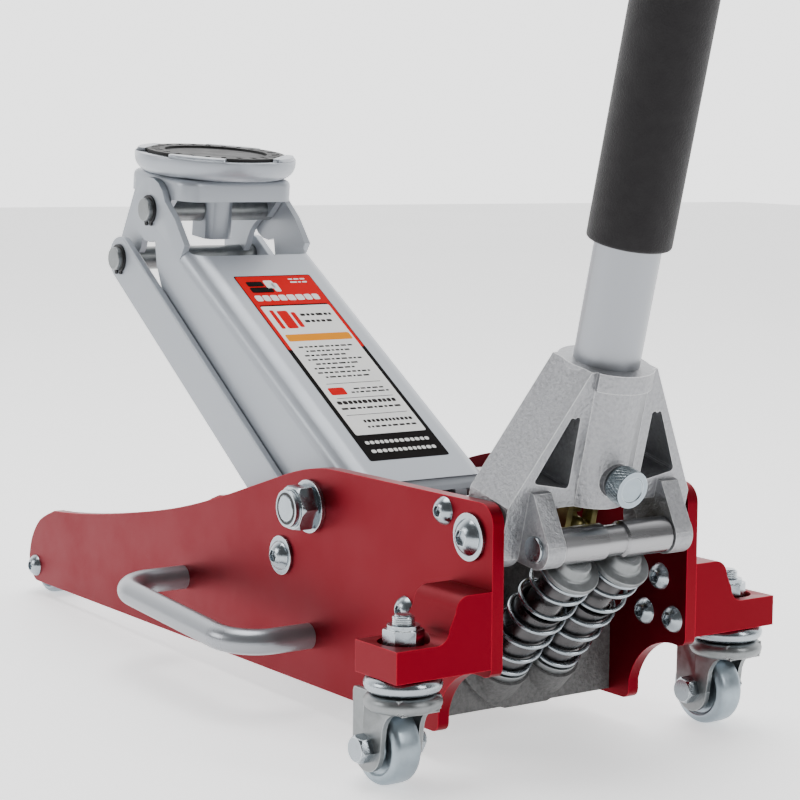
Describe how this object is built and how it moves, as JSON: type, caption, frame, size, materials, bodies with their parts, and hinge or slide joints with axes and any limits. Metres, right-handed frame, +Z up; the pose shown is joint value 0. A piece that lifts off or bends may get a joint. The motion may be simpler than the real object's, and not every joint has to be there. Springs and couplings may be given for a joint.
{
  "type": "hydraulic floor jack",
  "caption": "Low wheeled floor jack: red side plates, a lift arm with levelling links and round saddle, twin pump plungers, a cast handle yoke and a tall foam-sleeved handle.",
  "frame": {"origin": "on the floor under the middle of the jack's overall box", "axes": "+X towards the handle end, -X towards the saddle, +Y to the jack's right, +Z up"},
  "size_m": [0.7107, 0.2415, 1.0004],
  "materials": {
    "red_paint": "satin anodised red",
    "silver_paint": "satin silver enamel",
    "cast_aluminium": "shot-blasted casting",
    "zinc_plate": "bright zinc plate",
    "polished_steel": "ground steel",
    "dark_steel": "dark hardened steel",
    "cast_iron": "grey sand casting",
    "black_oxide": "black oxide",
    "yellow_zinc": "yellow passivated zinc",
    "handle_silver": "satin anodised tube",
    "black_rubber": "moulded rubber",
    "black_foam": "closed-cell foam"
  },
  "bodies": {
    "chassis": {"side_plate_left": "red_paint", "side_plate_right": "red_paint", "caster_bracket_left": "red_paint", "caster_bracket_right": "red_paint", "carry_handle_left": "handle_silver", "carry_handle_right": "handle_silver", "front_axle": "polished_steel", "frame_screws": "zinc_plate", "cross_rod": "polished_steel", "pivot_washers": "zinc_plate", "arm_shaft": "zinc_plate", "arm_nuts": "zinc_plate", "link_shoulder_screws": "zinc_plate", "yoke_pivot_screws": "zinc_plate", "power_unit": "cast_iron", "ram_cylinder": "polished_steel", "reservoir_tube": "black_oxide", "filler_plug": "black_oxide", "pump_barrels": "dark_steel", "spring_seats": "zinc_plate", "pump_spring_left": "zinc_plate", "pump_spring_right": "zinc_plate", "caster_stems": "zinc_plate", "caster_nuts": "zinc_plate"},
    "lift_arm": {"lift_arm": "silver_paint", "arm_pivot_tube": "polished_steel", "ram_lugs": "silver_paint", "ram_pin": "zinc_plate", "saddle_pin": "zinc_plate", "saddle_pin_clips": "black_oxide"},
    "level_links": {"level_link_left": "silver_paint", "level_link_right": "silver_paint", "link_pin": "zinc_plate", "link_pin_clips": "black_oxide"},
    "saddle_head": {"saddle_bracket": "silver_paint", "saddle": "silver_paint", "saddle_pad": "black_rubber"},
    "ram": {"ram": "polished_steel", "return_springs": "zinc_plate"},
    "handle_yoke": {"handle_yoke": "cast_aluminium", "roller_pin": "zinc_plate"},
    "pump_roller": {"pump_roller": "polished_steel"},
    "thumb_screw": {"thumb_screw": "zinc_plate"},
    "handle": {"handle_tube": "handle_silver", "foam_sleeve": "black_foam", "handle_grip": "black_rubber", "release_fork": "yellow_zinc"},
    "release_shaft": {"release_shaft": "yellow_zinc"},
    "plunger_left": {"plunger_left": "dark_steel", "spring_cap_left": "zinc_plate"},
    "plunger_right": {"plunger_right": "dark_steel", "spring_cap_right": "zinc_plate"},
    "front_wheel_left": {"front_wheel_left": "zinc_plate"},
    "front_wheel_right": {"front_wheel_right": "zinc_plate"},
    "caster_fork_left": {"caster_fork_left": "zinc_plate", "caster_axle_left": "zinc_plate"},
    "caster_fork_right": {"caster_fork_right": "zinc_plate", "caster_axle_right": "zinc_plate"},
    "caster_wheel_left": {"caster_wheel_left": "zinc_plate"},
    "caster_wheel_right": {"caster_wheel_right": "zinc_plate"}
  },
  "joints": [
    {"name": "arm_lift", "type": "hinge", "parent": "chassis", "child": "lift_arm", "pos_m": [-0.01287, 0, 0.10843], "axis": [0, 1, 0], "range_deg": [-47, 21]},
    {"name": "link_lift", "type": "hinge", "parent": "chassis", "child": "level_links", "pos_m": [-0.04072, 0, 0.07772], "axis": [0, 1, 0], "range_deg": [-47, 21]},
    {"name": "saddle_level", "type": "hinge", "parent": "lift_arm", "child": "saddle_head", "pos_m": [-0.22676, 0, 0.25307], "axis": [0, 1, 0], "range_deg": [-21, 47]},
    {"name": "ram_slide", "type": "slide", "parent": "chassis", "child": "ram", "axis": [-0.9998, 0, -0.018], "range_m": [-0.0292, 0.01305], "deforming": ["return_springs"]},
    {"name": "handle_pump", "type": "hinge", "parent": "chassis", "child": "handle_yoke", "pos_m": [0.12473, 0, 0.11521], "axis": [0, 1, 0], "range_deg": [0, 50], "stiffness_Nm_per_rad": 20, "springref_deg": -51.57},
    {"name": "roller_spin", "type": "hinge", "parent": "handle_yoke", "child": "pump_roller", "pos_m": [0.14988, 0, 0.11164], "axis": [0, 1, 0], "continuous": true},
    {"name": "thumb_screw_turn", "type": "hinge", "parent": "handle_yoke", "child": "thumb_screw", "pos_m": [0.13196, 0, 0.14587], "axis": [0.9733, 0, -0.2295], "continuous": true},
    {"name": "handle_twist", "type": "hinge", "parent": "handle_yoke", "child": "handle", "pos_m": [0.12473, 0, 0.11521], "axis": [0.2295, 0, 0.9733], "range_deg": [0, 90]},
    {"name": "release_turn", "type": "hinge", "parent": "chassis", "child": "release_shaft", "pos_m": [0.12473, 0, 0.11521], "axis": [0.927, 0, 0.3751], "range_deg": [0, 90]},
    {"name": "plunger_slide_left", "type": "slide", "parent": "chassis", "child": "plunger_left", "axis": [-0.6892, 0, -0.7246], "range_m": [0, 0.02111], "deforming": ["pump_spring_left"]},
    {"name": "plunger_slide_right", "type": "slide", "parent": "chassis", "child": "plunger_right", "axis": [-0.6892, 0, -0.7246], "range_m": [0, 0.02111], "deforming": ["pump_spring_right"]},
    {"name": "front_wheel_spin_left", "type": "hinge", "parent": "chassis", "child": "front_wheel_left", "pos_m": [-0.34131, -0.047, 0.0185], "axis": [0, 1, 0], "continuous": true},
    {"name": "caster_swivel_left", "type": "hinge", "parent": "chassis", "child": "caster_fork_left", "pos_m": [0.12608, -0.1015, 0.04022], "axis": [-0.018, 0, 0.9998], "continuous": true},
    {"name": "caster_spin_left", "type": "hinge", "parent": "caster_fork_left", "child": "caster_wheel_left", "pos_m": [0.11396, -0.1015, 0.0187], "axis": [0, 1, 0], "continuous": true},
    {"name": "front_wheel_spin_right", "type": "hinge", "parent": "chassis", "child": "front_wheel_right", "pos_m": [-0.34131, 0.047, 0.0185], "axis": [0, 1, 0], "continuous": true},
    {"name": "caster_swivel_right", "type": "hinge", "parent": "chassis", "child": "caster_fork_right", "pos_m": [0.12608, 0.1015, 0.04022], "axis": [-0.018, 0, 0.9998], "continuous": true},
    {"name": "caster_spin_right", "type": "hinge", "parent": "caster_fork_right", "child": "caster_wheel_right", "pos_m": [0.11396, 0.1015, 0.0187], "axis": [0, 1, 0], "continuous": true}
  ],
  "couplings": [
    {"joint": "link_lift", "follows": "arm_lift", "ratio": 1},
    {"joint": "saddle_level", "follows": "arm_lift", "ratio": -1},
    {"joint": "ram_slide", "follows": "arm_lift", "m_per_rad": 0.035582},
    {"joint": "release_turn", "follows": "handle_twist", "ratio": 1},
    {"joint": "plunger_slide_left", "follows": "handle_pump", "m_per_rad": 0.024179},
    {"joint": "plunger_slide_right", "follows": "handle_pump", "m_per_rad": 0.024179}
  ]
}
